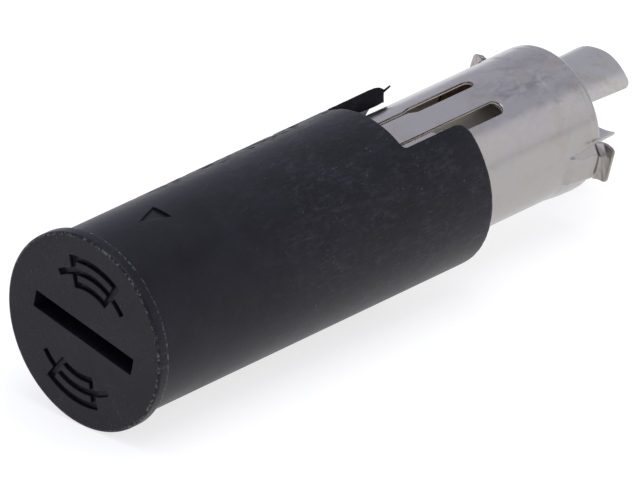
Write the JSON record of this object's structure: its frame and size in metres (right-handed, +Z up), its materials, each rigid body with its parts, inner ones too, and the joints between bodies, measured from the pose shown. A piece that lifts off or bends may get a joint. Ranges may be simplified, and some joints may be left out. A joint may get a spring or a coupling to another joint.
{
  "type": "cartridge fuse holder",
  "caption": "Slotted black fuse carrier of a panel-mounted bayonet holder: flanged plastic barrel with rear windows, slotted metal contact sleeve with lugs, and a glass cartridge fuse inside.",
  "frame": {"origin": "on the carrier's axis, in the plane of the flange's rear face, which seats on the panel body", "axes": "+Y along the axis from the front cap to the bayonet lugs, +Z up through the middle of the upper window, +X to the side whose lug is just below the axis"},
  "size_m": [0.014, 0.0494, 0.014],
  "materials": {
    "black_plastic": "moulded, satin, lightly dusty and scuffed",
    "nickel_sheet": "nickel-plated brass sheet, satin",
    "bright_nickel": "bright nickel plate",
    "spring_steel": "plated music wire",
    "brown_phenolic": "turned phenolic laminate",
    "fuse_glass": "clear",
    "solder": "dull solder",
    "element_wire": "tinned wire"
  },
  "bodies": {
    "carrier": {"front_cap": "black_plastic", "carrier_tube": "black_plastic", "contact_sleeve": "nickel_sheet", "contact_spring": "spring_steel", "insulator_bush": "brown_phenolic", "fuse_clip": "nickel_sheet"},
    "plunger": {"contact_cup": "bright_nickel"},
    "fuse": {"fuse_front_cap": "bright_nickel", "fuse_rear_cap": "bright_nickel", "fuse_glass": "fuse_glass", "fuse_front_solder": "solder", "fuse_rear_solder": "solder", "fuse_element": "element_wire"}
  },
  "joints": [
    {"name": "plunger_slide", "type": "slide", "parent": "carrier", "child": "plunger", "axis": [0, 1, 0], "range_m": [-0.0025, 0], "stiffness_N_per_m": 1500, "springref_m": 0.002, "deforming": ["contact_spring"]},
    {"name": "fuse_slide", "type": "slide", "parent": "plunger", "child": "fuse", "axis": [0, 1, 0], "range_m": [0, 0.038]}
  ]
}
